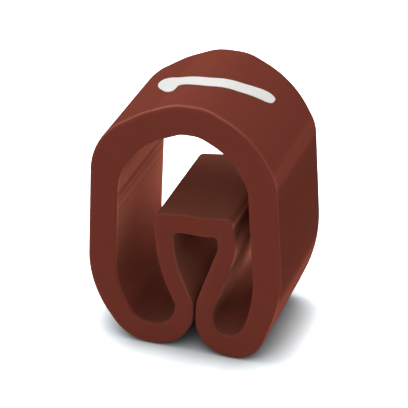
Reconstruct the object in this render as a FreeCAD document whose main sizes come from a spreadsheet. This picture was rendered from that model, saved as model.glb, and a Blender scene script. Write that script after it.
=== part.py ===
"""A slip-on cable marker: one soft vinyl profile, extruded and cut to a short length.

The conductor runs along Y. The profile lies in the XZ plane: a closed ring whose
lower wall turns under in two feet, rises again as two legs beside a narrow slit and
ends in a flat tongue. The ring stretches over the conductor and the tongue presses
on it. The front cut face looks to -Y and the feet stand on Z = 0.
"""
import FreeCAD, Part
import math
import os
import Sketcher

NODE = "marker_sleeve"
SHEET = "Dimensions"

# Driving dimensions, in millimetres and degrees.
# A tilt is the slope of a straight run, from the floor on the ring and from upright
# on the legs. A bend is the radius of the outside line at a turn, and a run is the
# straight part between two bends.
DIMENSIONS = [
    ("length", 3.0, "along the conductor, between the two cut faces"),
    ("height", 5.9, "from the feet to the crown"),
    ("slit_offset", 0.228, "middle of the slit, right of the marker's middle"),
    ("slit_gap", 0.056, "between the two legs, where they nearly touch"),
    ("side_wall", 0.644, "flanks"),
    ("crown_wall", 0.675, "crown, between the shoulders"),
    ("foot_wall", 0.532, "from the knees round to the toes"),
    ("leg_wall", 0.404, "legs beside the slit and the cavity"),
    ("tongue_wall", 0.449, "tongue, above the cavity"),
    ("cut_edge_outside", 0.11, "rounding of the cut edges, outside line"),
    ("cut_edge_inside", 0.08, "rounding of the cut edges, inside line"),
    ("left_toe_bend", 0.944, "foot beside the slit"),
    ("left_sole_run", 0.06, "flat that stands on the floor"),
    ("left_heel_bend", 1.0, "foot, outer side"),
    ("left_haunch_tilt", 55.3, "slope from the foot out to the flank"),
    ("left_haunch_run", 0.215, "straight part of that slope"),
    ("left_knee_bend", 2.376, "lower flank"),
    ("left_flank_tilt", 87.5, "slope of the flank"),
    ("left_shoulder_bend", 1.536, "upper flank"),
    ("left_shoulder_fill", 0.68, "extra inside radius, where the wall is thicker"),
    ("left_brow_tilt", 32.5, "slope from the shoulder to the roof"),
    ("left_brow_run", 0.434, "straight part of that slope"),
    ("left_brow_bend", 1.68, "between that slope and the roof"),
    ("left_roof_tilt", 23.4, "slope of the roof to the crown"),
    ("left_roof_run", 0.383, "straight part of that slope"),
    ("left_crown_bend", 1.25, "crown, left side"),
    ("right_crown_bend", 1.0, "crown, right side"),
    ("right_crown_fill", 0.24, "extra inside radius, where the wall is thicker"),
    ("right_roof_tilt", 26.4, "slope of the roof from the crown"),
    ("right_roof_run", 0.22, "straight part of that slope"),
    ("right_brow_bend", 2.123, "between the roof and the slope below it"),
    ("right_brow_tilt", 61.3, "slope from the roof to the shoulder"),
    ("right_brow_run", 0.2, "straight part of that slope"),
    ("right_shoulder_bend", 0.961, "upper flank"),
    ("right_shoulder_fill", 0.3, "extra inside radius, where the wall is thicker"),
    ("right_flank_tilt", 86.5, "slope of the flank"),
    ("right_knee_bend", 3.551, "lower flank"),
    ("right_haunch_tilt", 67.6, "slope from the flank in to the foot"),
    ("right_haunch_run", 0.369, "straight part of that slope"),
    ("right_heel_bend", 0.74, "foot, outer side"),
    ("right_heel_fill", 0.114, "extra inside radius, where the wall is thicker"),
    ("right_sole_run", 0.06, "flat that stands on the floor"),
    ("right_toe_bend", 0.762, "foot beside the slit"),
    ("right_slit_run", 0.262, "straight part of the slit's wall"),
    ("right_slit_bend", 0.922, "where the leg leaves the slit"),
    ("right_leg_tilt", 19.2, "leg, away from upright"),
    ("right_waist_bend", 0.525, "where the leg turns up to the tongue"),
    ("right_cheek_tilt", -6.4, "short wall under the tongue's edge, from upright"),
    ("right_cheek_run", 0.089, "straight part of that wall"),
    ("right_cavity_corner", 0.06, "cavity corner under the tongue"),
    ("right_tongue_corner", 0.165, "edge of the tongue, inside the ring"),
    ("tongue_right_tilt", 7.8, "right part of the tongue, up to the right, from level"),
    ("tongue_right_run", 0.167, "straight part of that slope"),
    ("tongue_right_bend", 0.8, "dip to the middle of the tongue"),
    ("cavity_height", 2.878, "cavity's roof above the feet, over the slit"),
    ("tongue_middle_tilt", -1.8, "middle of the tongue, up to the right, from level"),
    ("tongue_left_bend", 0.8, "rise before the left part of the tongue"),
    ("tongue_left_tilt", 7.1, "left part of the tongue, up to the right, from level"),
    ("tongue_left_run", 0.113, "straight part of that slope"),
    ("left_tongue_corner", 0.17, "edge of the tongue, inside the ring"),
    ("left_cavity_corner", 0.13, "cavity corner under the tongue"),
    ("left_cheek_run", 0.16, "straight part of the wall under the tongue's edge"),
    ("left_cheek_tilt", 4.3, "that wall, from upright"),
    ("left_waist_bend", 2.941, "where the leg turns up to the tongue"),
    ("left_leg_tilt", 22.9, "leg, away from upright"),
    ("left_slit_bend", 0.582, "where the leg leaves the slit"),
    ("left_slit_run", 0.111, "straight part of the slit's wall"),
]

# The runs of the outside line, clockwise as seen from the front, from the slit's
# left wall down: name, heading without its slope, sign and name of the slope that
# is added to it, and the wall on its inner side.
RUNS = [
    ("left_slit", -90, 0, None, "leg_wall"),
    ("left_sole", 180, 0, None, "foot_wall"),
    ("left_haunch", 180, -1, "left_haunch_tilt", "foot_wall"),
    ("left_flank", 0, 1, "left_flank_tilt", "side_wall"),
    ("left_brow", 0, 1, "left_brow_tilt", "crown_wall"),
    ("left_roof", 0, 1, "left_roof_tilt", "crown_wall"),
    ("crown", 0, 0, None, "crown_wall"),
    ("right_roof", 0, -1, "right_roof_tilt", "crown_wall"),
    ("right_brow", 0, -1, "right_brow_tilt", "crown_wall"),
    ("right_flank", 0, -1, "right_flank_tilt", "side_wall"),
    ("right_haunch", -180, 1, "right_haunch_tilt", "foot_wall"),
    ("right_sole", 180, 0, None, "foot_wall"),
    ("right_slit", 90, 0, None, "leg_wall"),
    ("right_leg", 90, -1, "right_leg_tilt", "leg_wall"),
    ("right_cheek", 90, -1, "right_cheek_tilt", "leg_wall"),
    ("tongue_right", -180, 1, "tongue_right_tilt", "tongue_wall"),
    ("tongue_middle", -180, 1, "tongue_middle_tilt", "tongue_wall"),
    ("tongue_left", -180, 1, "tongue_left_tilt", "tongue_wall"),
    ("left_cheek", -90, 1, "left_cheek_tilt", "leg_wall"),
    ("left_leg", -90, 1, "left_leg_tilt", "leg_wall"),
]

# The bend that ends each of those runs, and what sets its inside radius where the
# walls alone do not: a corner of its own, or a fill that is added.
BENDS = [
    "left_toe_bend", "left_heel_bend", "left_knee_bend", "left_shoulder_bend",
    "left_brow_bend", "left_crown_bend", "right_crown_bend", "right_brow_bend",
    "right_shoulder_bend", "right_knee_bend", "right_heel_bend", "right_toe_bend",
    "right_slit_bend", "right_waist_bend", "right_cavity_corner", "tongue_right_bend",
    "tongue_left_bend", "left_cavity_corner", "left_waist_bend", "left_slit_bend",
]
OWN_INSIDE_CORNER = {
    "right_cavity_corner": "right_tongue_corner",
    "left_cavity_corner": "left_tongue_corner",
}
INSIDE_FILL = {
    "left_shoulder_bend": "left_shoulder_fill",
    "right_crown_bend": "right_crown_fill",
    "right_shoulder_bend": "right_shoulder_fill",
    "right_heel_bend": "right_heel_fill",
}

SKETCH_ORIGIN = (-1, 1)
FLOOR_LINE = -1
SAME_PLANE = 1e-6


def make_sheet(doc):
    """Writes the driving dimensions to a sheet and gives them back as numbers."""
    sheet = doc.addObject("Spreadsheet::Sheet", SHEET)
    for row, (alias, value, note) in enumerate(DIMENSIONS, start=1):
        sheet.set(f"A{row}", note)
        sheet.set(f"B{row}", str(value))
        sheet.setAlias(f"B{row}", alias)
    doc.recompute()
    return {alias: float(sheet.get(alias)) for alias, value, note in DIMENSIONS}


def cell(alias):
    """The name of a sheet value inside an expression."""
    return f"{SHEET}.{alias}"


def along(heading):
    """Unit vector of a heading in degrees."""
    angle = math.radians(heading)
    return FreeCAD.Vector(math.cos(angle), math.sin(angle), 0)


def inward(heading):
    """Unit vector to the right of a heading, where the wall lies."""
    return along(heading - 90)


def turn_between(heading, next_heading):
    """Signed turn from one heading to the next, positive to the left."""
    return (next_heading - heading + 180) % 360 - 180


def meeting(point_a, heading_a, point_b, heading_b):
    """Where two straight lines meet, each given by a point and a heading."""
    side = inward(heading_b)
    share = (point_b - point_a).dot(side) / along(heading_a).dot(side)
    return point_a + along(heading_a) * share


def run_headings(size):
    """Heading of each run, in degrees."""
    headings = []
    for name, base, sign, slope, wall in RUNS:
        headings.append(base + (sign * size[slope] if slope else 0))
    return headings


def run_turns(headings):
    """Turn at the end of each run."""
    following = headings[1:] + headings[:1]
    return [turn_between(now, after) for now, after in zip(headings, following)]


def reach(radius, turn):
    """How far a bend cuts back each of its two runs from their sharp corner."""
    return radius * math.tan(math.radians(abs(turn)) / 2)


def outside_corners(size):
    """Sharp corners of the outside line, one at the end of each run.

    The feet are worked out from the slit outwards. The flanks, the crown, the legs
    and the middle of the tongue close the loop.
    """
    headings = run_headings(size)
    cuts = [reach(size[bend], turn) for bend, turn in zip(BENDS, run_turns(headings))]
    step = {}
    way = {}
    for index, (name, base, sign, slope, wall) in enumerate(RUNS):
        straight = size.get(name + "_run", 0)
        step[name] = along(headings[index]) * (cuts[index - 1] + straight + cuts[index])
        way[name] = headings[index]

    def up_flank(point, side):
        """Along a flank from its knee to the height where its brow starts."""
        above = abs(step[side + "_brow"].y) + abs(step[side + "_roof"].y)
        climb = size["height"] - above - point.y
        flank = along(way[side + "_flank"])
        return point + flank * (climb / flank.y)

    left_toe = FreeCAD.Vector(size["slit_offset"] - size["slit_gap"] / 2, 0, 0)
    left_heel = left_toe + step["left_sole"]
    left_knee = left_heel + step["left_haunch"]
    left_shoulder = up_flank(left_knee, "left")
    left_brow = left_shoulder + step["left_brow"]
    left_crown = left_brow + step["left_roof"]

    right_toe = FreeCAD.Vector(size["slit_offset"] + size["slit_gap"] / 2, 0, 0)
    right_heel = right_toe - step["right_sole"]
    right_knee = right_heel - step["right_haunch"]
    right_shoulder = up_flank(right_knee, "right")
    right_brow = right_shoulder - step["right_brow"]
    right_crown = right_brow - step["right_roof"]

    middle = FreeCAD.Vector(size["slit_offset"], size["cavity_height"], 0)
    level = way["tongue_middle"]
    right_slit = right_toe + step["right_slit"]
    beside_leg = right_slit + step["right_cheek"] + step["tongue_right"]
    tongue_right = meeting(beside_leg, way["right_leg"], middle, level)
    cavity_right = tongue_right - step["tongue_right"]
    right_waist = cavity_right - step["right_cheek"]
    left_slit = left_toe - step["left_slit"]
    beside_leg = left_slit - step["left_cheek"] - step["tongue_left"]
    tongue_left = meeting(beside_leg, way["left_leg"], middle, level)
    cavity_left = tongue_left + step["tongue_left"]
    left_waist = cavity_left + step["left_cheek"]

    return [
        left_toe, left_heel, left_knee, left_shoulder, left_brow, left_crown,
        right_crown, right_brow, right_shoulder, right_knee, right_heel, right_toe,
        right_slit, right_waist, cavity_right, tongue_right, tongue_left,
        cavity_left, left_waist, left_slit,
    ]


def inside_corners(size, outside):
    """Sharp corners of the inside line: each run moved inwards by its wall."""
    headings = run_headings(size)
    moved = []
    for index, (name, base, sign, slope, wall) in enumerate(RUNS):
        moved.append(outside[index] + inward(headings[index]) * size[wall])
    corners = []
    for index, heading in enumerate(headings):
        after = (index + 1) % len(RUNS)
        corners.append(meeting(moved[index], heading, moved[after], headings[after]))
    return corners


def inside_rule(index, turn):
    """What the inside radius of a bend is made of: signed shares of sheet values."""
    bend = BENDS[index]
    if bend in OWN_INSIDE_CORNER:
        return [(1, OWN_INSIDE_CORNER[bend])]
    side = math.copysign(0.5, turn)
    wall_before = RUNS[index][4]
    wall_after = RUNS[(index + 1) % len(RUNS)][4]
    rule = [(1, bend), (side, wall_before), (side, wall_after)]
    if bend in INSIDE_FILL:
        rule.append((1, INSIDE_FILL[bend]))
    return rule


def draw_line(sketch, corners, headings, radii):
    """Draws a closed line with rounded corners, its pieces tangent to each other.

    Gives back the sketch's numbers of its runs and of its bends.
    """
    turns = run_turns(headings)
    upward = FreeCAD.Vector(0, 0, 1)
    runs = []
    for index, heading in enumerate(headings):
        before = corners[index - 1]
        start = before + along(heading) * reach(radii[index - 1], turns[index - 1])
        end = corners[index] - along(heading) * reach(radii[index], turns[index])
        runs.append(sketch.addGeometry(Part.LineSegment(start, end), False))
    bends = []
    joints = []
    for index, turn in enumerate(turns):
        heading = headings[index]
        radius = radii[index]
        after = runs[(index + 1) % len(runs)]
        start = corners[index] - along(heading) * reach(radius, turn)
        to_left = turn > 0
        centre = start - inward(heading) * (radius if to_left else -radius)
        first = math.radians(heading - 90 if to_left else heading + turn + 90)
        circle = Part.Circle(centre, upward, radius)
        arc = Part.ArcOfCircle(circle, first, first + math.radians(abs(turn)))
        bend = sketch.addGeometry(arc, False)
        bends.append(bend)
        near, far = (1, 2) if to_left else (2, 1)
        joints.append(Sketcher.Constraint("Tangent", runs[index], 2, bend, near))
        joints.append(Sketcher.Constraint("Tangent", bend, far, after, 1))
    sketch.addConstraint(joints)
    return runs, bends


def dimension(name, expression, *parts):
    """A named dimension of the sketch, with the sheet expression that drives it."""
    constraint = Sketcher.Constraint(*parts)
    constraint.Name = name
    return constraint, expression


def constrain(sketch, plain, dimensions):
    """Adds plain constraints and dimensions, and ties the dimensions to the sheet."""
    sketch.addConstraint(plain + [constraint for constraint, expression in dimensions])
    for constraint, expression in dimensions:
        sketch.setExpression(f"Constraints.{constraint.Name}", expression)


def bind_outside(sketch, size, runs, bends):
    """Ties the outside line to the sheet: slopes, run lengths, bends and places."""
    headings = run_headings(size)
    number = {}
    plain = []
    driven = []
    for index, (name, base, sign, slope, wall) in enumerate(RUNS):
        run = runs[index]
        number[name] = run
        if slope:
            angle = math.radians(headings[index])
            rule = f"{base} + {sign} * {cell(slope)}"
            driven.append(dimension(name + "_slope", rule, "Angle", run, angle))
        else:
            upright = base % 180 != 0
            plain.append(Sketcher.Constraint("Vertical" if upright else "Horizontal", run))
        straight = name + "_run"
        if straight in size:
            driven.append(
                dimension(straight, cell(straight), "Distance", run, size[straight]))
    for bend, arc in zip(BENDS, bends):
        driven.append(dimension(bend, cell(bend), "Radius", arc, size[bend]))

    origin = SKETCH_ORIGIN
    for name, side in (("left_slit", -1), ("right_slit", 1)):
        place = size["slit_offset"] + side * size["slit_gap"] / 2
        rule = f"{cell('slit_offset')} + {side} * {cell('slit_gap')} / 2"
        driven.append(dimension(
            name + "_place", rule, "DistanceX", *origin, number[name], 1, place))
    for name in ("left_sole", "right_sole"):
        plain.append(Sketcher.Constraint("PointOnObject", number[name], 1, FLOOR_LINE))
    driven.append(dimension(
        "overall_height", cell("height"),
        "DistanceY", *origin, number["crown"], 1, size["height"]))

    middle = FreeCAD.Vector(size["slit_offset"], size["cavity_height"], 0)
    mark = sketch.addGeometry(Part.Point(middle), True)
    driven.append(dimension(
        "cavity_middle", cell("slit_offset"), "DistanceX", *origin, mark, 1, middle.x))
    driven.append(dimension(
        "roof_height", cell("cavity_height"), "DistanceY", *origin, mark, 1, middle.y))
    plain.append(Sketcher.Constraint("PointOnObject", mark, 1, number["tongue_middle"]))
    constrain(sketch, plain, driven)


def bind_inside(sketch, size, radii, outer_runs, runs, bends):
    """Ties the inside line to the outside one: a wall's thickness from each run."""
    turns = run_turns(run_headings(size))
    plain = []
    driven = []
    for index, (name, base, sign, slope, wall) in enumerate(RUNS):
        outer = outer_runs[index]
        plain.append(Sketcher.Constraint("Parallel", outer, runs[index]))
        driven.append(dimension(
            name + "_wall", cell(wall), "Distance", runs[index], 1, outer, size[wall]))
    for index, bend in enumerate(BENDS):
        rule = inside_rule(index, turns[index])
        text = " + ".join(f"{share} * {cell(alias)}" for share, alias in rule)
        driven.append(
            dimension(bend + "_inside", text, "Radius", bends[index], radii[index]))
    constrain(sketch, plain, driven)


def make_profile(body, size):
    """Sketch of the wall: the outside line and the inside line."""
    planes = body.Origin.OriginFeatures
    upright = next(plane for plane in planes if plane.Role == "XZ_Plane")
    sketch = body.newObject("Sketcher::SketchObject", "Profile")
    sketch.AttachmentSupport = [(upright, "")]
    sketch.MapMode = "FlatFace"

    headings = run_headings(size)
    turns = run_turns(headings)
    outside = outside_corners(size)
    outer_radii = [size[bend] for bend in BENDS]
    outer_runs, outer_bends = draw_line(sketch, outside, headings, outer_radii)
    bind_outside(sketch, size, outer_runs, outer_bends)

    inner_radii = []
    for index, turn in enumerate(turns):
        rule = inside_rule(index, turn)
        inner_radii.append(sum(share * size[alias] for share, alias in rule))
    inside = inside_corners(size, outside)
    inner_runs, inner_bends = draw_line(sketch, inside, headings, inner_radii)
    bind_inside(sketch, size, inner_radii, outer_runs, inner_runs, inner_bends)
    return sketch


def cut_edges(shape, half_length, outside):
    """Names of the edges of both cut faces, on the outside or the inside line."""
    wanted = []
    for face in shape.Faces:
        flat = abs(abs(face.CenterOfMass.y) - half_length) < SAME_PLANE
        if not flat:
            continue
        for wire in face.Wires:
            if wire.isSame(face.OuterWire) == outside:
                wanted.extend(wire.Edges)
    names = []
    for number, edge in enumerate(shape.Edges, start=1):
        if any(edge.isSame(other) for other in wanted):
            names.append(f"Edge{number}")
    return names


def round_cut_edges(doc, body, base, alias, size, outside):
    """Rounds the edges that the cut leaves, along one line of the profile."""
    name = "CutEdgesOutside" if outside else "CutEdgesInside"
    fillet = body.newObject("PartDesign::Fillet", name)
    fillet.Base = (base, cut_edges(base.Shape, size["length"] / 2, outside))
    fillet.setExpression("Radius", cell(alias))
    doc.recompute()
    return fillet


def make_marker(doc, size):
    """The marker: the profile extruded along the conductor, its cut edges rounded."""
    body = doc.addObject("PartDesign::Body", "MarkerSleeve")
    body.Label = NODE
    profile = make_profile(body, size)
    doc.recompute()
    pad = body.newObject("PartDesign::Pad", "CutLength")
    pad.Profile = profile
    pad.SideType = "Symmetric"
    pad.setExpression("Length", cell("length"))
    doc.recompute()
    outer = round_cut_edges(doc, body, pad, "cut_edge_outside", size, True)
    round_cut_edges(doc, body, outer, "cut_edge_inside", size, False)
    return body


def check(doc, body):
    """Stops if anything in the document failed or the body is not one sound solid."""
    for item in doc.Objects:
        if "Invalid" in item.State or "Error" in item.State:
            raise RuntimeError(f"{item.Name} failed: {item.State}")
    shape = body.Shape
    if shape.isNull() or not shape.isValid() or len(shape.Solids) != 1:
        raise RuntimeError(f"{body.Label} is not one sound solid")


def main():
    """Builds the marker and writes its solid."""
    doc = FreeCAD.newDocument("CableMarker")
    size = make_sheet(doc)
    body = make_marker(doc, size)
    doc.recompute()
    check(doc, body)
    box = body.Shape.optimalBoundingBox()
    print(f"{NODE}: {box.XLength:.3f} x {box.YLength:.3f} x {box.ZLength:.3f} mm,",
          f"middle x {box.Center.x:.4f}, {body.Shape.Volume:.3f} mm3")
    os.makedirs("parts", exist_ok=True)
    body.Shape.exportStep(f"parts/{NODE}.step")


main()
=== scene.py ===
# %% [markdown]
# # A brown cable marker, looked at closely
#
# The object is a slip-on marker for a wire: three millimetres of soft brown
# vinyl, cut from one long extruded strip, with the number 1 printed across its
# crown. The vinyl goes all the way round as one wall. Below, it turns in under
# two small feet, runs back up as two legs, and ends in a flat tongue that
# presses on the wire.
#
# The solid model gives the exact shape, in metres. This lesson gives it a fine
# skin, a dull plastic finish, its printed number and soft studio light.

# %% Open the frame
import math

import bpy
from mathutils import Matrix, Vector


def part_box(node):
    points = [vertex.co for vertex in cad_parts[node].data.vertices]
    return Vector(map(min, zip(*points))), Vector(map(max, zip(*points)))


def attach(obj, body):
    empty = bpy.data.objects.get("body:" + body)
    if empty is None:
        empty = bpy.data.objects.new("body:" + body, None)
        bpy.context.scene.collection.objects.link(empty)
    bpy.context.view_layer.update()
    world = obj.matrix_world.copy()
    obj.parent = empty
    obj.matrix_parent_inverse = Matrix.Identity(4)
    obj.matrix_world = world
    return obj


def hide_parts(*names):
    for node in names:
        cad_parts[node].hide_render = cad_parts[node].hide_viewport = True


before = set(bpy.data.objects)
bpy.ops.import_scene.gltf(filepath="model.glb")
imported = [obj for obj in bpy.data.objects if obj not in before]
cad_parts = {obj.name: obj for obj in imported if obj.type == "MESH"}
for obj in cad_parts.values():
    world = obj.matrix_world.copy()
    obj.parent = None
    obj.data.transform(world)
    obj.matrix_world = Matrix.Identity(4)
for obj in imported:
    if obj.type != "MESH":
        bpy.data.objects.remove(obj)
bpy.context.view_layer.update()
lowest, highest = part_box("marker_sleeve")
print("the sleeve reaches from", tuple(lowest), "to", tuple(highest))

# %% [markdown]
# ## The camera
#
# The photograph looks down on the marker from the front, a little from its
# right, through a long lens: lines that run away from the eye hardly meet. The
# place of the camera is worked out from a point on the marker, two angles and a
# distance, so that each of them can be changed alone.

# %% Place the camera
LOOK_AT = Vector((-0.000034, 0.0, 0.002829))
LOOK_FROM_RIGHT = math.radians(18.855)
LOOK_FROM_ABOVE = math.radians(29.28)
LOOK_DISTANCE = 0.04546
LENS = 185.3

away = Vector((
    math.sin(LOOK_FROM_RIGHT) * math.cos(LOOK_FROM_ABOVE),
    -math.cos(LOOK_FROM_RIGHT) * math.cos(LOOK_FROM_ABOVE),
    math.sin(LOOK_FROM_ABOVE),
))
bpy.ops.object.camera_add(location=LOOK_AT + away * LOOK_DISTANCE)
camera = bpy.context.object
camera.name = "camera"
camera.rotation_euler = away.to_track_quat("Z", "Y").to_euler()
camera.data.sensor_fit = "HORIZONTAL"
camera.data.sensor_width = 36
camera.data.lens = LENS
camera.data.clip_start = 0.001
camera.data.clip_end = 10
bpy.context.scene.camera = camera
print("camera at", tuple(round(v, 5) for v in camera.location))

# %% [markdown]
# ## A bench for small things
#
# Blender's tools are at home with things about as big as a chair, and some of
# them weld or skip what is finer than a tenth of a millimetre. The marker is
# six millimetres high, so its skin is made on a bench where one unit is one
# millimetre. Each piece is brought down to its real size when it is done.
#
# Three small helpers pick a piece, pick a part of it by its place, and bring it
# down to size.

# %% Helpers for the bench
MM = 0.001
HALF_LENGTH = highest[1] / MM
ON_LINE = 0.0005
WELD = 0.0001


def take(*pieces):
    """Selects these pieces and nothing else."""
    bpy.ops.object.select_all(action="DESELECT")
    for piece in pieces:
        piece.select_set(True)
    bpy.context.view_layer.objects.active = pieces[0]


def choose(piece, kind, wanted=lambda part: True):
    """Opens the piece in edit mode with only the wanted VERT, EDGE or FACE parts selected."""
    take(piece)
    bpy.ops.object.mode_set(mode="EDIT")
    bpy.ops.mesh.select_mode(type=kind)
    bpy.ops.mesh.select_all(action="DESELECT")
    bpy.ops.object.mode_set(mode="OBJECT")
    mesh = piece.data
    parts = {"VERT": mesh.vertices, "EDGE": mesh.edges, "FACE": mesh.polygons}[kind]
    for part in parts:
        part.select = bool(wanted(part))
    bpy.ops.object.mode_set(mode="EDIT")


def resize(piece, factor):
    """Makes the mesh larger or smaller about the origin; the object itself stays unscaled."""
    choose(piece, "VERT")
    bpy.ops.transform.resize(value=(factor, factor, factor), center_override=(0, 0, 0))
    bpy.ops.object.mode_set(mode="OBJECT")


def copy_of(piece, name):
    """A separate copy with a mesh of its own."""
    copied = piece.copy()
    copied.data = piece.data.copy()
    copied.name = name
    copied.parent = None
    bpy.context.scene.collection.objects.link(copied)
    return copied


print("the marker is", round(2 * HALF_LENGTH, 3), "mm long on the bench")

# %% [markdown]
# ## The guide
#
# The solid model comes as a net of flat triangles. Its shape is right, but its
# bends are made of straight steps, which a close camera shows in every
# highlight. The vinyl was pushed through a die, so the whole marker follows
# from two closed lines: the outer line of the wall and the inner line. They are
# taken from a copy of the net, along the rims where the rounded cut edge meets
# the wall.

# %% Take the two lines from a copy of the solid
OUTER_ROUNDING = 0.11
INNER_ROUNDING = 0.08

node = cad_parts["marker_sleeve"]
guide = copy_of(node, "guide")
resize(guide, 1 / MM)
choose(guide, "VERT")
bpy.ops.mesh.remove_doubles(threshold=WELD)
bpy.ops.object.mode_set(mode="OBJECT")


def choose_ring(piece, y):
    """Selects the edges that go round the marker at this place along its length."""
    points = piece.data.vertices
    choose(piece, "EDGE", lambda edge: all(abs(points[i].co.y - y) < ON_LINE for i in edge.vertices))


def rim_line(name, rounding):
    """The closed line on the guide that lies one rounding behind the front cut face, as a curve."""
    line = copy_of(guide, name)
    choose_ring(line, rounding - HALF_LENGTH)
    bpy.ops.mesh.select_all(action="INVERT")
    bpy.ops.mesh.delete(type="EDGE")
    bpy.ops.mesh.select_all(action="SELECT")
    bpy.ops.mesh.delete_loose(use_verts=True, use_edges=False, use_faces=False)
    bpy.ops.object.mode_set(mode="OBJECT")
    bpy.ops.object.convert(target="CURVE")
    splines = line.data.splines
    print(name, "has", len(splines[0].points), "points, closed:", splines[0].use_cyclic_u)
    return line


outer_line = rim_line("outer_line", OUTER_ROUNDING)
inner_line = rim_line("inner_line", INNER_ROUNDING)

# %% [markdown]
# ## From steps to true bends
#
# Each line is a chain of straight sides whose corners lie exactly on the real
# outline. A side either is a straight run of the outline, or it cuts across a
# small piece of a bend. At each corner the line turns by half the bend of the
# side before it and half the bend of the side after it. The longest side is
# surely a straight run, so from there the bend of every side follows in turn.
#
# With that known, a Bezier curve is laid over the corners, its handles along
# the true direction of the outline and as long as a round bend needs.

# %% Lay Bezier curves over the corners
STEPS_PER_SIDE = 6
STRAIGHT = math.radians(0.6)


def heading(side):
    """The direction of a side, as an angle."""
    return math.atan2(side.z, side.x)


def half_turn(angle):
    """The same angle, between minus and plus half a turn."""
    return (angle + math.pi) % (2 * math.pi) - math.pi


def lay_bends(line):
    """Turns a line of straight sides into Bezier curves with the true bends."""
    spline = line.data.splines[0]
    corners = [Vector(point.co[:3]) for point in spline.points]
    count = len(corners)
    sides = [corners[(i + 1) % count] - corners[i] for i in range(count)]
    longest = max(range(count), key=lambda i: sides[i].length)
    bends = [0.0] * count
    for step in range(1, count):
        i = (longest + step) % count
        turn = half_turn(heading(sides[i]) - heading(sides[i - 1]))
        bends[i] = 2 * turn - bends[i - 1]
    spline.type = "BEZIER"
    for point in spline.bezier_points:
        point.handle_left_type = "FREE"
        point.handle_right_type = "FREE"
    for i, side in enumerate(sides):
        bend = bends[i] if abs(bends[i]) > STRAIGHT else 0.0
        reach = side.length / 3
        if bend:
            radius = side.length / (2 * math.sin(bend / 2))
            reach = radius * math.tan(bend / 4) * 4 / 3
        leaves = heading(side) - bend / 2
        arrives = heading(side) + bend / 2
        after = (i + 1) % count
        start, end = spline.bezier_points[i], spline.bezier_points[after]
        start.handle_right = corners[i] + reach * Vector((math.cos(leaves), 0, math.sin(leaves)))
        end.handle_left = corners[after] - reach * Vector((math.cos(arrives), 0, math.sin(arrives)))
    line.data.resolution_u = STEPS_PER_SIDE
    sharpest = math.degrees(max(abs(bend) for bend in bends))
    print(line.name, "bends by up to", round(sharpest, 1), "degrees a side")


lay_bends(outer_line)
lay_bends(inner_line)

# %% [markdown]
# ## Pulling the wall out of the lines
#
# This is the die and the extruder: each line is turned into mesh edges and
# pulled back along the marker's length, up to where the rounding of the far cut
# edge begins.
#
# Before that, each vertex is told two things that it passes on to whatever is
# extruded from it: its place on the line, and the direction into the vinyl,
# square to the line. For the outer line that is towards the middle, and for the
# inner line away from it.

# %% Extrude the two walls
def into_vinyl(corners, side):
    """For each corner of a closed line, the direction square to it, into the vinyl."""
    count = len(corners)
    area = sum(corners[i - 1].x * corners[i].z - corners[i].x * corners[i - 1].z for i in range(count))
    facing = side if area > 0 else -side
    directions = []
    for i in range(count):
        before = corners[i] - corners[i - 1]
        after = corners[(i + 1) % count] - corners[i]
        along = before * after.length / before.length + after * before.length / after.length
        directions.append(Vector((-along.z, 0, along.x)).normalized() * facing)
    return directions


def pull_wall(line, rounding, side):
    """Makes a wall of a line: side is one where the vinyl lies within the line, else minus one."""
    length = 2 * (HALF_LENGTH - rounding)
    take(line)
    bpy.ops.object.convert(target="MESH")
    mesh = line.data
    corners = [vertex.co.copy() for vertex in mesh.vertices]
    inward = mesh.attributes.new("into_vinyl", "FLOAT_VECTOR", "POINT")
    on_rim = mesh.attributes.new("place_on_line", "FLOAT_VECTOR", "POINT")
    for i, direction in enumerate(into_vinyl(corners, side)):
        inward.data[i].vector = direction
        on_rim.data[i].vector = corners[i]
    line.vertex_groups.new(name=line.name).add(range(len(corners)), 1.0, "REPLACE")
    choose(line, "VERT")
    bpy.ops.mesh.extrude_region_move(TRANSFORM_OT_translate={"value": (0, length, 0)})
    bpy.ops.object.mode_set(mode="OBJECT")
    print(line.name, "is a wall of", len(line.data.polygons), "faces")


pull_wall(outer_line, OUTER_ROUNDING, 1)
pull_wall(inner_line, INNER_ROUNDING, -1)

# %% [markdown]
# ## Rounding the cut edges
#
# The knife presses soft vinyl down before it goes through, so no cut edge is
# sharp. The outer edge is a little rounder than the edges inside. Blender's
# bevel stumbles over sides as fine as these, so the rounding is grown from the
# rim, one narrow ring after the other: each ring is extruded where the last one
# lies, and then moved a step along a quarter circle, into the vinyl and towards
# the cut.

# %% Grow the rounded rims
ROUNDING_RINGS = 8


def grow_rim(wall, rounding, end):
    """Rounds one end of a wall: end is minus one at the front and one at the back."""
    rim = end * (HALF_LENGTH - rounding)
    choose_ring(wall, rim)
    for ring in range(1, ROUNDING_RINGS + 1):
        bpy.ops.mesh.extrude_region_move()
        bpy.ops.object.mode_set(mode="OBJECT")
        mesh = wall.data
        inward = mesh.attributes["into_vinyl"].data
        on_rim = mesh.attributes["place_on_line"].data
        turn = math.pi / 2 * ring / ROUNDING_RINGS
        for vertex in mesh.vertices:
            if vertex.select:
                sunk = rounding * (1 - math.cos(turn))
                vertex.co = on_rim[vertex.index].vector + inward[vertex.index].vector * sunk
                vertex.co.y = rim + end * rounding * math.sin(turn)
        bpy.ops.object.mode_set(mode="EDIT")
    bpy.ops.object.mode_set(mode="OBJECT")


for wall, rounding in ((outer_line, OUTER_ROUNDING), (inner_line, INNER_ROUNDING)):
    for end in (-1, 1):
        grow_rim(wall, rounding, end)
take(outer_line, inner_line)
bpy.ops.object.join()
sleeve = bpy.context.object
sleeve.name = "vinyl_sleeve"
sleeve.data.name = "vinyl_sleeve"
print("both walls with their rims have", len(sleeve.data.polygons), "faces")

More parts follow.
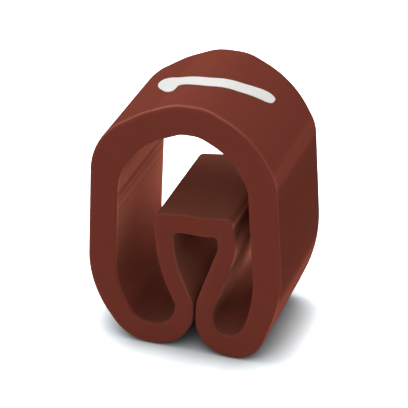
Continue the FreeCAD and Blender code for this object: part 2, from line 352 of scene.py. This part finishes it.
# %% [markdown]
# ## The two cut faces
#
# A cut face is a flat band with a hole in it, and one Blender face can't have a
# hole. So two short seams are laid across the wall, one over the crown and one
# through the tongue, and the band becomes a left and a right face.

# %% Close the cut faces
SLIT_X = 0.228
CROWN_HEIGHTS = (4.8, 7.0)
TONGUE_HEIGHTS = (2.5, 4.8)


def on_line(name):
    """The numbers of the vertices that belong to one of the two lines."""
    group = sleeve.vertex_groups[name].index
    return {v.index for v in sleeve.data.vertices if any(g.group == group for g in v.groups)}


def nearest_to_slit(numbers, y, heights):
    """The vertex of a line, on one cut face and between two heights, that is nearest the slit."""
    points = sleeve.data.vertices
    low, high = heights
    there = [i for i in numbers if abs(points[i].co.y - y) < ON_LINE and low < points[i].co.z < high]
    return min(there, key=lambda i: abs(points[i].co.x - SLIT_X))


lines = [on_line("outer_line"), on_line("inner_line")]
for y in (-HALF_LENGTH, HALF_LENGTH):
    crown_seam = {nearest_to_slit(numbers, y, CROWN_HEIGHTS) for numbers in lines}
    tongue_seam = {nearest_to_slit(numbers, y, TONGUE_HEIGHTS) for numbers in lines}
    for seam in (crown_seam, tongue_seam):
        choose(sleeve, "VERT", lambda vertex: vertex.index in seam)
        bpy.ops.mesh.edge_face_add()
        bpy.ops.object.mode_set(mode="OBJECT")
    seams = crown_seam | tongue_seam
    for side in (-1, 1):
        choose(sleeve, "VERT", lambda vertex: abs(vertex.co.y - y) < ON_LINE and (
            vertex.index in seams or side * (vertex.co.x - SLIT_X) > 0))
        bpy.ops.mesh.edge_face_add()
        bpy.ops.object.mode_set(mode="OBJECT")
cut_faces = [face for face in sleeve.data.polygons if len(face.vertices) > 4]
print("cut faces:", [(len(face.vertices), "corners", round(face.area, 3), "mm2") for face in cut_faces])

# %% [markdown]
# ## Even light over the skin
#
# All faces are turned outwards and shaded smooth. A smooth corner normally
# leans towards every face around it, which would tint the flat cut faces near
# their rims. Weighted normals let the large flat faces keep their own
# direction, and the rounding alone carries the turn of the light.

# %% Smooth the skin
choose(sleeve, "FACE")
bpy.ops.mesh.normals_make_consistent(inside=False)
bpy.ops.object.mode_set(mode="OBJECT")
take(sleeve)
bpy.ops.object.shade_smooth()
even = sleeve.modifiers.new("even_normals", "WEIGHTED_NORMAL")
even.weight = 50
even.keep_sharp = True
bpy.ops.object.modifier_apply(modifier=even.name)
for spare in ("into_vinyl", "place_on_line"):
    sleeve.data.attributes.remove(sleeve.data.attributes[spare])
corners = [vertex.co for vertex in sleeve.data.vertices]
print("the skin has", len(sleeve.data.polygons), "faces and reaches from",
      [round(min(c[k] for c in corners), 4) for k in range(3)], "to",
      [round(max(c[k] for c in corners), 4) for k in range(3)])
bpy.data.objects.remove(guide)

# %% [markdown]
# ## The printed number
#
# The 1 is printed along the bend of the crown, its top to the left. It is a
# film of white ink, so it has the thickness of ink and the bend of the crown. A
# font could give the 1, but the stamp that prints it has softer ends and a bowed
# stroke. So its outline is drawn flat, point by point in millimetres, round its
# top, its far side, its foot, its near side and its small flag. Then it is cut
# into narrow strips so that it can bend, dropped onto the crown, and given its
# thickness.

# %% Draw the number
TOP = [(-1.09, 0.10), (-1.12, 0.27), (-1.08, 0.34)]
FAR_SIDE = [
    (-0.95, 0.30), (-0.62, 0.12), (-0.10, -0.06), (0.33, -0.01), (0.71, 0.13), (0.96, 0.28),
    (1.19, 0.43),
]
FOOT = [(1.31, 0.48), (1.38, 0.46), (1.40, 0.35), (1.38, 0.22), (1.31, 0.12)]
NEAR_SIDE = [(1.17, 0.02), (1.00, -0.08), (0.64, -0.28), (0.24, -0.42), (-0.08, -0.44), (-0.35, -0.38)]
FLAG = [
    (-0.46, -0.37), (-0.48, -0.48), (-0.52, -0.61), (-0.63, -0.59), (-0.82, -0.39), (-0.99, -0.13),
]
NUMBER_OUTLINE = TOP + FAR_SIDE + FOOT + NEAR_SIDE + FLAG
ABOVE_CROWN = 7.0
STRIP = 0.05
ALMOST_STRAIGHT = math.radians(1)

outline = bpy.data.curves.new("number_one", "CURVE")
outline.dimensions = "2D"
outline.fill_mode = "BOTH"
outline.resolution_u = 5
spline = outline.splines.new("BEZIER")
spline.bezier_points.add(len(NUMBER_OUTLINE) - 1)
spline.use_cyclic_u = True
for point, (x, y) in zip(spline.bezier_points, NUMBER_OUTLINE):
    point.co = (x, y, 0)
    point.handle_left_type = "AUTO"
    point.handle_right_type = "AUTO"
number = bpy.data.objects.new("number_one", outline)
bpy.context.scene.collection.objects.link(number)
take(number)
bpy.ops.object.convert(target="MESH")
number = bpy.context.object
choose(number, "VERT")
bpy.ops.mesh.remove_doubles(threshold=WELD)
bpy.ops.mesh.dissolve_limited(angle_limit=ALMOST_STRAIGHT)
bpy.ops.transform.translate(value=(0, 0, ABOVE_CROWN))
first = min(vertex.co.x for vertex in number.data.vertices)
last = max(vertex.co.x for vertex in number.data.vertices)
for cut in range(1, int((last - first) / STRIP)):
    bpy.ops.mesh.select_all(action="SELECT")
    bpy.ops.mesh.bisect(plane_co=(first + cut * STRIP, 0, 0), plane_no=(1, 0, 0), threshold=WELD / 10)
bpy.ops.object.mode_set(mode="OBJECT")
print("the number has", len(number.data.polygons), "strips")

# %% Lay it on the crown
INK_THICKNESS = 0.024
INK_EDGE = math.radians(40)

drop = number.modifiers.new("drop", "SHRINKWRAP")
drop.target = sleeve
drop.wrap_method = "PROJECT"
drop.use_project_z = True
drop.use_negative_direction = True
drop.use_positive_direction = False
take(number)
bpy.ops.object.modifier_apply(modifier=drop.name)
film = number.modifiers.new("film", "SOLIDIFY")
film.thickness = INK_THICKNESS
film.offset = 0
bpy.ops.object.modifier_apply(modifier=film.name)
choose(number, "FACE")
bpy.ops.mesh.normals_make_consistent(inside=False)
bpy.ops.object.mode_set(mode="OBJECT")
bpy.ops.object.shade_smooth_by_angle(angle=INK_EDGE)
print("the number lies between heights", round(min(v.co.z for v in number.data.vertices), 3),
      "and", round(max(v.co.z for v in number.data.vertices), 3))

# %% [markdown]
# ## Down to real size
#
# Both pieces leave the bench at a thousandth of their size there. They belong
# to the marker's one body, and the skin stands for the solid sleeve.

# %% Bring the pieces down and hand them over
resize(sleeve, MM)
resize(number, MM)
for piece in (sleeve, number):
    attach(piece, "root")
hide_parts("marker_sleeve")
print("skin", tuple(round(v / MM, 3) for v in sleeve.dimensions), "mm")

# %% [markdown]
# ## A finish used twice: soft mottling
#
# Neither the vinyl nor the ink is one flat colour. Both are faintly cloudy, on
# a scale of a few tenths of a millimetre, and both have a fine tooth on their
# surface. That effect is one node group with its own knobs: how large the
# clouds are, and how strong. It puts out a shade around one, to multiply a
# colour by, and a height for a bump.

# %% Helpers for materials
def node_of(tree, kind, x, y, **settings):
    """A new node at a place in the node editor, with its settings."""
    made = tree.nodes.new(kind)
    made.location = (x, y)
    for key, value in settings.items():
        setattr(made, key, value)
    return made


def math_of(tree, operation, first, second, x, y, third=None):
    """A Math node on numbers or on what other nodes give; third is what MULTIPLY_ADD adds."""
    made = node_of(tree, "ShaderNodeMath", x, y, operation=operation)
    for slot, value in zip(made.inputs, (first, second, third)):
        if hasattr(value, "is_output"):
            tree.links.new(value, slot)
        elif value is not None:
            slot.default_value = value
    return made.outputs[0]


def ramp_between(tree, value, low, high, to_low, to_high, x, y):
    """A smooth step of a value from one level to another."""
    made = node_of(tree, "ShaderNodeMapRange", x, y, interpolation_type="SMOOTHSTEP")
    tree.links.new(value, made.inputs["Value"])
    made.inputs["From Min"].default_value = low
    made.inputs["From Max"].default_value = high
    made.inputs["To Min"].default_value = to_low
    made.inputs["To Max"].default_value = to_high
    return made.outputs["Result"]


def millimetres(tree, scale, turn=(0, 0, 0), x=-1200, y=0):
    """The place on the piece, counted in millimetres and stretched by scale."""
    where = node_of(tree, "ShaderNodeTexCoord", x - 200, y)
    mapping = node_of(tree, "ShaderNodeMapping", x, y)
    mapping.inputs["Scale"].default_value = [factor / MM for factor in scale]
    mapping.inputs["Rotation"].default_value = [math.radians(angle) for angle in turn]
    tree.links.new(where.outputs["Object"], mapping.inputs["Vector"])
    return mapping.outputs["Vector"]


def clouds(tree, place, detail, x, y, roughness=0.5):
    """Noise as fine as the place is stretched: one cloud to each whole step of the place."""
    made = node_of(tree, "ShaderNodeTexNoise", x, y)
    made.inputs["Scale"].default_value = 1.0
    made.inputs["Detail"].default_value = detail
    made.inputs["Roughness"].default_value = roughness
    tree.links.new(place, made.inputs["Vector"])
    return made.outputs["Fac"]


def group_of(name, takes, gives):
    """An empty node group with its inputs and outputs, each a name and a kind."""
    made = bpy.data.node_groups.new(name, "ShaderNodeTree")
    for sockets, in_out in ((takes, "INPUT"), (gives, "OUTPUT")):
        for title, kind in sockets.items():
            made.interface.new_socket(name=title, in_out=in_out, socket_type="NodeSocket" + kind)
    return made, node_of(made, "NodeGroupInput", -700, 0), node_of(made, "NodeGroupOutput", 500, 0)


print("clouds and places are counted in steps of", MM, "m")

# %% Build the mottling group
CLOUD_MIDDLE = 0.5
TEETH_PER_CLOUD = 9.0

mottling, given, result = group_of(
    "mottling",
    {"Place": "Vector", "Cloud size": "Float", "Strength": "Float"},
    {"Shade": "Float", "Height": "Float"},
)
per_size = math_of(mottling, "DIVIDE", 1.0, given.outputs["Cloud size"], -500, -100)
cloud = node_of(mottling, "ShaderNodeTexNoise", -300, 150)
cloud.inputs["Detail"].default_value = 5
cloud.inputs["Roughness"].default_value = 0.6
mottling.links.new(given.outputs["Place"], cloud.inputs["Vector"])
mottling.links.new(per_size, cloud.inputs["Scale"])
centred = math_of(mottling, "SUBTRACT", cloud.outputs["Fac"], CLOUD_MIDDLE, -100, 150)
spread = math_of(mottling, "MULTIPLY", centred, given.outputs["Strength"], 80, 150)
shade = math_of(mottling, "ADD", spread, 1.0, 260, 150)
tooth = node_of(mottling, "ShaderNodeTexNoise", -300, -250)
tooth.inputs["Detail"].default_value = 3
fine = math_of(mottling, "MULTIPLY", per_size, TEETH_PER_CLOUD, -480, -300)
mottling.links.new(given.outputs["Place"], tooth.inputs["Vector"])
mottling.links.new(fine, tooth.inputs["Scale"])
mottling.links.new(shade, result.inputs["Shade"])
mottling.links.new(tooth.outputs["Fac"], result.inputs["Height"])
print("mottling group has", len(mottling.nodes), "nodes")

# %% [markdown]
# ## Soft spots
#
# Painted light and shade on the vinyl are laid out as soft spots: where a spot lies, the wall is
# painted paler or darker. A soft spot is a rounded region with a centre and three reaches. A long reach
# along the marker's length makes it a streak. The vinyl has over a dozen of them, so a spot is built
# once, as a node group, and placed wherever one is needed.

# %% Build the soft spot group
SPOT_CORE = 0.4

spot, given, result = group_of(
    "soft_spot", {"Place": "Vector", "Centre": "Vector", "Reach": "Vector"}, {"Mask": "Float"})
from_centre = node_of(spot, "ShaderNodeVectorMath", -450, 0, operation="SUBTRACT")
in_reaches = node_of(spot, "ShaderNodeVectorMath", -250, 0, operation="DIVIDE")
distance = node_of(spot, "ShaderNodeVectorMath", -50, 0, operation="LENGTH")
spot.links.new(given.outputs["Place"], from_centre.inputs[0])
spot.links.new(given.outputs["Centre"], from_centre.inputs[1])
spot.links.new(from_centre.outputs[0], in_reaches.inputs[0])
spot.links.new(given.outputs["Reach"], in_reaches.inputs[1])
spot.links.new(in_reaches.outputs[0], distance.inputs[0])
fading = ramp_between(spot, distance.outputs["Value"], SPOT_CORE, 1.0, 1, 0, 150, 0)
spot.links.new(fading, result.inputs["Mask"])
print("soft spot group has", len(spot.nodes), "nodes")

# %% [markdown]
# ## The brown vinyl
#
# Soft vinyl is dull, and lets a little light in under the surface. Three things break its evenness. The
# die leaves fine lines along the length of every wall. The knife leaves a faint drag on the two cut
# faces. And the rims are a touch paler, a painted highlight. An image could be wrapped round the marker
# for all this, but which is which follows from the place on the piece alone: the nearer to an end of
# its length, the nearer to a cut. Each range below starts and ends so many millimetres before the cut.

# %% Mask the cut faces and the rims
WALL_FADES = (0.07, 0.02)
RIM_RISES = (0.115, 0.075)
RIM_FADES = (0.06, 0.025)

vinyl = bpy.data.materials.new("brown_vinyl_finish")
vinyl.use_nodes = True
tree = vinyl.node_tree
place = millimetres(tree, (1, 1, 1), x=-1900, y=300)
apart = node_of(tree, "ShaderNodeSeparateXYZ", -1700, 500)
tree.links.new(place, apart.inputs[0])
from_middle = math_of(tree, "ABSOLUTE", apart.outputs["Y"], None, -1520, 500)


def near_cut(before_cut, to_low, to_high, y):
    """A smooth step between two distances before the cut, in millimetres."""
    low, high = (HALF_LENGTH - distance for distance in before_cut)
    return ramp_between(tree, from_middle, low, high, to_low, to_high, -1340, y)


wall = near_cut(WALL_FADES, 1, 0, 560)
rim_rises = near_cut(RIM_RISES, 0, 1, 830)
rim_fades = near_cut(RIM_FADES, 1, 0, 1100)
# Where the rims lie; the painted highlight goes there.
rim = math_of(tree, "MULTIPLY", rim_rises, rim_fades, -1140, 950)
print("the walls end", WALL_FADES[0], "mm before the cuts")

# %% [markdown]
# ## Painted light along the walls
#
# The streaks are painted light and painted shade. They are listed with their centres and reaches in
# millimetres, and with how strongly each one brightens the wall; a gain below nought darkens it. They
# lie on walls that look to the right, painted as if lit from that side, and the middle of the right
# flank's outside is painted darker. The palest are inside the left flank and in the right foot. The
# hollows behind the slit and beside the left leg get painted light and shade of their own, whichever
# way their walls look.

# %% Lay the painted light streaks
# Each streak: centre, reach and gain of painted light; below nought it is painted shade.
PAINTED_STREAKS = [
    ((-1.47, 2.6, 3.7), (0.6, 5.9, 3.1), 2.65),
    ((0.85, 0.8, 1.60), (0.6, 2.6, 1.15), 5.0),
    ((1.15, -0.6, 2.45), (0.3, 1.6, 0.6), 2.2),
    ((1.06, 0.0, 3.25), (0.09, 9.0, 0.09), 1.3),
    ((2.02, 0.0, 4.43), (0.40, 9.0, 0.26), 0.24),
    ((2.00, 0.0, 1.10), (0.5, 9.0, 0.75), 0.7),
    ((2.08, 0.0, 3.0), (0.3, 9.0, 1.9), -0.2),
]
# Painted light and shade in the hollows, whichever way their walls look: centre, reach, gain.
PAINTED_HOLLOW_SPOTS = [
    ((0.25, 1.8, 1.9), (0.75, 4.5, 1.3), 0.75),
    ((-0.95, -1.5, 0.45), (1.1, 3.0, 0.65), -0.32),
    ((-0.75, 0.6, 1.5), (0.9, 3.0, 1.2), 0.25),
]
TURNED_RIGHT = (0.15, 0.45)

# Painted light only on walls turned to the right, as if lit from that side.
skin_place = node_of(tree, "ShaderNodeTexCoord", -1900, -100)
skin_way = node_of(tree, "ShaderNodeSeparateXYZ", -1700, -100)
tree.links.new(skin_place.outputs["Normal"], skin_way.inputs[0])
painted_light_facing_right = ramp_between(tree, skin_way.outputs["X"], *TURNED_RIGHT, 0, 1, -1700, -300)


def spot_of(centre, reach, x, y):
    """The mask of one soft spot on the vinyl."""
    made = node_of(tree, "ShaderNodeGroup", x, y, node_tree=spot)
    made.inputs["Centre"].default_value = centre
    made.inputs["Reach"].default_value = reach
    tree.links.new(place, made.inputs["Place"])
    return made.outputs["Mask"]


def streak_of(centre, reach, gain, y):
    """How much one streak of painted light or shade brightens or darkens the wall at a place."""
    return math_of(tree, "MULTIPLY", spot_of(centre, reach, -1500, y), gain, -1250, y)


# The painted light and shade of all streaks and hollows, summed into one gain.
painted_light_gain = streak_of(*PAINTED_STREAKS[0], 0)
for row, streak in enumerate(PAINTED_STREAKS[1:], 1):
    painted_light_gain = math_of(tree, "ADD", painted_light_gain, streak_of(*streak, -220 * row), -1050, -220 * row)
painted_light_gain = math_of(tree, "MULTIPLY", painted_light_gain, painted_light_facing_right, -850, -800)
for row, hollow in enumerate(PAINTED_HOLLOW_SPOTS):
    streak = streak_of(*hollow, -1600 - 220 * row)
    painted_light_gain = math_of(tree, "ADD", painted_light_gain, streak, -650, -900 - 220 * row)
print("the vinyl has", len(PAINTED_STREAKS), "streaks and", len(PAINTED_HOLLOW_SPOTS), "spots in its hollows")

# %% [markdown]
# ## A painted highlight on the crown
#
# Over the crown runs one paler band, a painted highlight, with a quick start at its left and a slow end
# at its right. A soft spot has the same end all round, so the band is made of two smooth steps across
# the marker and one up its height, and then the painted light and shade of the streaks are added to it.

# %% Lay the painted highlight band
BAND_RISES = (-0.70, -0.58)
BAND_FADES = (-0.25, 0.60)
BAND_HEIGHTS = (5.3, 5.4)
# The crown band is a painted highlight; this is how much paler it makes the crown.
HIGHLIGHT_BAND_GAIN = 0.10

band_rises = ramp_between(tree, apart.outputs["X"], *BAND_RISES, 0, 1, -1340, 1400)
band_fades = ramp_between(tree, apart.outputs["X"], *BAND_FADES, 1, 0, -1340, 1700)
on_top = ramp_between(tree, apart.outputs["Z"], *BAND_HEIGHTS, 0, HIGHLIGHT_BAND_GAIN, -1340, 2000)
band = math_of(tree, "MULTIPLY", band_rises, band_fades, -1140, 1550)
band = math_of(tree, "MULTIPLY_ADD", band, on_top, -960, 1700, third=painted_light_gain)
# Painted light, highlight and shade, kept off the cut faces.
painted_light_on_walls = math_of(tree, "MULTIPLY", band, wall, -780, 1550)
print("the band is", round(BAND_FADES[1] - BAND_RISES[0], 2), "mm wide")

# %% [markdown]
# ## Die lines and the knife's drag
#
# Both are noise that is stretched until it looks drawn: along the length for the die, and nearly level
# for the knife, which came down at a slant. Inside the left flank the lines are seen one by one, so
# that place has grooves of its own, drawn as painted shade in the colour alone.

# %% Draw the lines
DIE_STRETCH = (4.0, 0.07, 7.0)
DRAG_STRETCH = (1.2, 1.0, 9.0)
DRAG_SLANT = 14

die_place = millimetres(tree, DIE_STRETCH, x=-1900, y=-2300)
die_lines = clouds(tree, die_place, 3, -1500, -2300, roughness=0.6)
drag_place = millimetres(tree, DRAG_STRETCH, turn=(0, DRAG_SLANT, 0), x=-1900, y=-2650)
knife_drag = clouds(tree, drag_place, 4, -1500, -2650)
surface = node_of(tree, "ShaderNodeMix", -850, -2400, data_type="FLOAT")
tree.links.new(wall, surface.inputs["Factor"])
tree.links.new(knife_drag, surface.inputs["A"])
tree.links.new(die_lines, surface.inputs["B"])
print("the drag on the cut faces slants by", DRAG_SLANT, "degrees")

# %% Paint the shade of the grooves inside the left flank
GROOVED_CENTRE = (-1.45, 0.0, 3.75)
GROOVED_REACH = (0.5, 3.5, 1.1)
GROOVE_STRETCH = (1.0, 0.05, 12.0)
GROOVE_NOISE = (0.34, 0.50)
GROOVE_SHADES = (-0.34, 0.06)

groove_place = millimetres(tree, GROOVE_STRETCH, x=-1900, y=-3000)
grooves = clouds(tree, groove_place, 2, -1500, -3000)
# The grooves are painted shade: darker along each line, a little paler between.
painted_groove_darkness = ramp_between(tree, grooves, *GROOVE_NOISE, *GROOVE_SHADES, -1250, -3000)
grooved = spot_of(GROOVED_CENTRE, GROOVED_REACH, -1500, -3300)
groove_mask = math_of(tree, "MULTIPLY", grooved, wall, -1250, -3300)
painted_groove_shade = math_of(tree, "MULTIPLY", painted_groove_darkness, groove_mask, -1000, -3100)
print("the grooves change the shade from", GROOVE_SHADES[0], "to", GROOVE_SHADES[1])

# %% [markdown]
# ## Three browns
#
# The skin outside, the walls inside the tube and the rims are the same vinyl, and yet three browns.
# Little light finds its way into the tube, and what does has been through the vinyl, so the inside is
# mixed a little paler: this is painted light. The rims are the palest, a painted highlight, but not all
# round. Outside it is strongest along the crown, and inside, under the crown, there is none.

# %% Colour the skin and the rims
# The vinyl's own brown; the paler inside is painted light, and the rims' palest brown a painted
# highlight.
VINYL_BROWN = (0.200, 0.0455, 0.0298, 1)
VINYL_INSIDE_PAINTED_LIGHT = (0.215, 0.070, 0.045, 1)
VINYL_RIM_PAINTED_HIGHLIGHT = (0.32, 0.105, 0.080, 1)
FLANK_SHINE = 0.4

# Paler brown on the walls inside the tube: painted light.
inside = spot_of((0.1, 0.0, 2.6), (2.25, 9.0, 3.6), -900, 650)
painted_inside_light = math_of(tree, "MULTIPLY", inside, wall, -700, 650)
skin = node_of(tree, "ShaderNodeMix", -450, 450, data_type="RGBA")
skin.inputs["A"].default_value = VINYL_BROWN
skin.inputs["B"].default_value = VINYL_INSIDE_PAINTED_LIGHT
tree.links.new(painted_inside_light, skin.inputs["Factor"])
# The rims' paler brown is a painted highlight: strongest along the crown, weaker on the flanks, none
# under the crown.
along_crown = spot_of((-0.5, 0.0, 5.6), (2.3, 9.0, 1.3), -900, 900)
under_crown = spot_of((0.0, 0.0, 4.5), (1.9, 9.0, 1.35), -900, 1150)
outer_shine = math_of(tree, "MULTIPLY_ADD", along_crown, 1 - FLANK_SHINE, -700, 900, third=FLANK_SHINE)
inner_shine = math_of(tree, "SUBTRACT", 1.0, under_crown, -700, 1150)
painted_rim_highlight = math_of(tree, "MULTIPLY", outer_shine, inner_shine, -500, 1000)
painted_rim_highlight = math_of(tree, "MULTIPLY", painted_rim_highlight, rim, -350, 850)
base = node_of(tree, "ShaderNodeMix", -250, 300, data_type="RGBA")
base.inputs["B"].default_value = VINYL_RIM_PAINTED_HIGHLIGHT
tree.links.new(skin.outputs["Result"], base.inputs["A"])
tree.links.new(painted_rim_highlight, base.inputs["Factor"])
print("along the flanks the rims shine", FLANK_SHINE, "times as much as along the crown")

# %% [markdown]
# ## From browns to vinyl
#
# What was laid out above is now multiplied into the brown: the painted light and shade of the streaks
# and the band, the lines with the painted shade of the grooves, and the mottling. The lines also change
# how rough the skin is, and together with the tooth of the mottling they make the bump. In even light
# from all sides this soft vinyl shows no gloss, so the shader gets none. Half of its light comes from
# under the skin, red furthest.

# %% Shade the brown
LINE_SHADE = 0.05

mottled = node_of(tree, "ShaderNodeGroup", -900, 150, node_tree=mottling)
mottled.inputs["Cloud size"].default_value = 0.9
mottled.inputs["Strength"].default_value = 0.06
tree.links.new(place, mottled.inputs["Place"])
lines = surface.outputs["Result"]
# The painted light and shade, as one factor on the brown.
painted_light_factor = math_of(tree, "ADD", painted_light_on_walls, 1.0, -650, -200)
lined = math_of(tree, "MULTIPLY_ADD", lines, LINE_SHADE, -450, -200, third=1 - LINE_SHADE / 2)
grooved_shade = math_of(tree, "ADD", lined, painted_groove_shade, -450, -400)
shade = math_of(tree, "MULTIPLY", painted_light_factor, grooved_shade, -250, -200)
all_shade = math_of(tree, "MULTIPLY", shade, mottled.outputs["Shade"], -50, 0)
coloured = node_of(tree, "ShaderNodeVectorMath", 150, 250, operation="SCALE")
tree.links.new(base.outputs["Result"], coloured.inputs[0])
tree.links.new(all_shade, coloured.inputs["Scale"])
print("the lines change the shade by", LINE_SHADE)

# %% Mix the vinyl
VINYL_ROUGHNESS = 0.5
LINE_ROUGHNESS = 0.16
TOOTH_HEIGHT = 0.5
BUMP_HEIGHT = 0.00001

shader = tree.nodes["Principled BSDF"]
shader.location = (700, 0)
shader.inputs["IOR"].default_value = 1.5
shader.inputs["Specular IOR Level"].default_value = 0.0
shader.inputs["Subsurface Weight"].default_value = 0.5
shader.inputs["Subsurface Radius"].default_value = (1.0, 0.35, 0.25)
shader.inputs["Subsurface Scale"].default_value = 0.0003
tree.links.new(coloured.outputs[0], shader.inputs["Base Color"])
smoothest = VINYL_ROUGHNESS - LINE_ROUGHNESS / 2
roughness = math_of(tree, "MULTIPLY_ADD", lines, LINE_ROUGHNESS, 200, -50, third=smoothest)
tree.links.new(roughness, shader.inputs["Roughness"])
heights = math_of(tree, "MULTIPLY_ADD", mottled.outputs["Height"], TOOTH_HEIGHT, 0, -300, third=lines)
bump = node_of(tree, "ShaderNodeBump", 300, -300)
bump.inputs["Strength"].default_value = 0.2
bump.inputs["Distance"].default_value = BUMP_HEIGHT
tree.links.new(heights, bump.inputs["Height"])
tree.links.new(bump.outputs["Normal"], shader.inputs["Normal"])
sleeve.data.materials.clear()
sleeve.data.materials.append(vinyl)
print(vinyl.name, "has", len(tree.nodes), "nodes")

# %% [markdown]
# ## The white ink
#
# Marking ink is opaque and almost white, a shade warm, and it has a trace of
# gloss. The same mottling, smaller and weaker, keeps it from looking painted by
# a machine.

# %% Mix the ink
INK_WHITE = (0.90, 0.89, 0.865, 1)

ink = bpy.data.materials.new("white_ink_finish")
ink.use_nodes = True
tree = ink.node_tree
shader = tree.nodes["Principled BSDF"]
shader.inputs["Roughness"].default_value = 0.5
shader.inputs["Specular IOR Level"].default_value = 0.1
ink_place = millimetres(tree, (1, 1, 1), x=-900)
mottled = node_of(tree, "ShaderNodeGroup", -600, 0, node_tree=mottling)
mottled.inputs["Cloud size"].default_value = 0.25
mottled.inputs["Strength"].default_value = 0.05
tree.links.new(ink_place, mottled.inputs["Place"])
coloured = node_of(tree, "ShaderNodeVectorMath", -300, 100, operation="SCALE")
coloured.inputs[0].default_value = INK_WHITE[:3]
tree.links.new(mottled.outputs["Shade"], coloured.inputs["Scale"])
tree.links.new(coloured.outputs[0], shader.inputs["Base Color"])
bump = node_of(tree, "ShaderNodeBump", -300, -200)
bump.inputs["Strength"].default_value = 0.3
bump.inputs["Distance"].default_value = BUMP_HEIGHT
tree.links.new(mottled.outputs["Height"], bump.inputs["Height"])
tree.links.new(bump.outputs["Normal"], shader.inputs["Normal"])
number.data.materials.clear()
number.data.materials.append(ink)
print(ink.name, "has", len(tree.nodes), "nodes")

# %% [markdown]
# ## Floor and background
#
# The marker stands on white paper that has no edge. The light on it stays at a
# plain level. Light Path tells apart what a ray is for: light on its way to the
# marker meets ordinary white paper, and the eye sees the same paper a good deal
# brighter, so that it runs into the white of the background. The shadow under
# the feet stays. It is short and soft, because the light comes from all sides:
# paper is dark only where the marker hides most of the sky above it. Ambient
# Occlusion measures just that, over a reach of one millimetre, and the paper
# that the eye sees is multiplied by it, down to a small rest in the darkest
# place. That paper is also a touch blue, to make up for the red that the marker
# throws on it.

# %% Lay the floor
FLOOR_HALF = 0.4
PAPER = (0.80, 0.80, 0.80, 1)
PAPER_TO_THE_EYE = (1.82, 2.00, 2.06, 1)
CONTACT_REACH = 0.001
CONTACT_OPEN = 0.85
CONTACT_POWER = 1.6
CONTACT_REST = 0.12

bpy.ops.mesh.primitive_plane_add(size=2 * FLOOR_HALF, location=(0, 0, 0))
floor = bpy.context.object
floor.name = "floor"


def seen_directly(tree, x, y):
    """One for what the camera or a reflection sees, nought for light on its way to the marker."""
    path = node_of(tree, "ShaderNodeLightPath", x, y)
    eye, gloss = path.outputs["Is Camera Ray"], path.outputs["Is Glossy Ray"]
    eye_or_gloss = math_of(tree, "MAXIMUM", eye, gloss, x + 200, y)
    return math_of(tree, "MAXIMUM", eye_or_gloss, path.outputs["Is Transmission Ray"], x + 380, y)


paper = bpy.data.materials.new("white_paper")
paper.use_nodes = True
tree = paper.node_tree
tree.nodes.clear()
plain = node_of(tree, "ShaderNodeBsdfDiffuse", 250, 0)
contact = node_of(tree, "ShaderNodeAmbientOcclusion", -900, -300, samples=16)
contact.inputs["Distance"].default_value = CONTACT_REACH
opening = math_of(tree, "DIVIDE", contact.outputs["AO"], CONTACT_OPEN, -680, -300)
opening = math_of(tree, "POWER", opening, CONTACT_POWER, -500, -300)
darkening = math_of(tree, "MULTIPLY_ADD", opening, 1 - CONTACT_REST, -500, -500, third=CONTACT_REST)
grounded = node_of(tree, "ShaderNodeVectorMath", -300, -250, operation="SCALE")
grounded.inputs[0].default_value = PAPER_TO_THE_EYE[:3]
tree.links.new(darkening, grounded.inputs["Scale"])
white = node_of(tree, "ShaderNodeMix", 0, 0, data_type="RGBA")
white.inputs["A"].default_value = PAPER
tree.links.new(grounded.outputs[0], white.inputs["B"])
tree.links.new(seen_directly(tree, -700, 0), white.inputs["Factor"])
tree.links.new(white.outputs["Result"], plain.inputs["Color"])
result = node_of(tree, "ShaderNodeOutputMaterial", 450, 0)
tree.links.new(plain.outputs[0], result.inputs["Surface"])
floor.data.materials.append(paper)
print("the eye sees the paper at", PAPER_TO_THE_EYE[1] / PAPER[1], "times its brightness")

# %% Colour the background
AMBIENT = 0.34

world = bpy.data.worlds.new("studio")
bpy.context.scene.world = world
world.use_nodes = True
tree = world.node_tree
tree.nodes.clear()
backdrop = node_of(tree, "ShaderNodeBackground", 0, 0)
backdrop.inputs["Color"].default_value = (1, 1, 1, 1)
mask = seen_directly(tree, -700, 0)
strength = math_of(tree, "MULTIPLY_ADD", mask, 1 - AMBIENT, -100, 0, third=AMBIENT)
tree.links.new(strength, backdrop.inputs["Strength"])
result = node_of(tree, "ShaderNodeOutputWorld", 250, 0)
tree.links.new(backdrop.outputs[0], result.inputs["Surface"])
print("the background lights the marker at", AMBIENT)

# %% [markdown]
# ## The lamps
#
# One lamp behind and one above light the crown. One in front, as strong, lights
# the cut face and lets the inside of the tube stay dark. A low weak one behind
# the right shines through the tube onto the walls that look to the right, and a
# weak one at the left opens up the shadow there. A lamp's level says how bright
# a white card at the marker would look under it alone, so the levels can be
# added up.

# %% Hang the lamps
LAMP_REACH = 0.05


def lamp(name, from_right, from_above, size, level):
    """A square lamp that looks at the marker from two angles, in degrees."""
    right, above = math.radians(from_right), math.radians(from_above)
    level_out = math.cos(above)
    toward = Vector((math.sin(right) * level_out, -math.cos(right) * level_out, math.sin(above)))
    bpy.ops.object.light_add(type="AREA", location=LOOK_AT + toward * LAMP_REACH)
    made = bpy.context.object
    made.name = name
    made.rotation_euler = toward.to_track_quat("Z", "Y").to_euler()
    made.data.shape = "SQUARE"
    made.data.size = size
    made.data.energy = level * (math.pi * LAMP_REACH) ** 2


lamp("top_lamp", 190, 80, 0.05, 0.13)
lamp("front_lamp", 9, 40, 0.04, 0.33)
lamp("left_lamp", 270, 60, 0.05, 0.12)
lamp("back_lamp", 212, 52, 0.06, 0.34)
lamp("low_lamp", 160, 14, 0.03, 0.18)

# %% [markdown]
# ## Colours as they are
#
# The view transform is the plain one, so that a colour on screen is the colour
# that was mixed.

# %% Set the plain view transform
bpy.context.scene.view_settings.view_transform = "Standard"
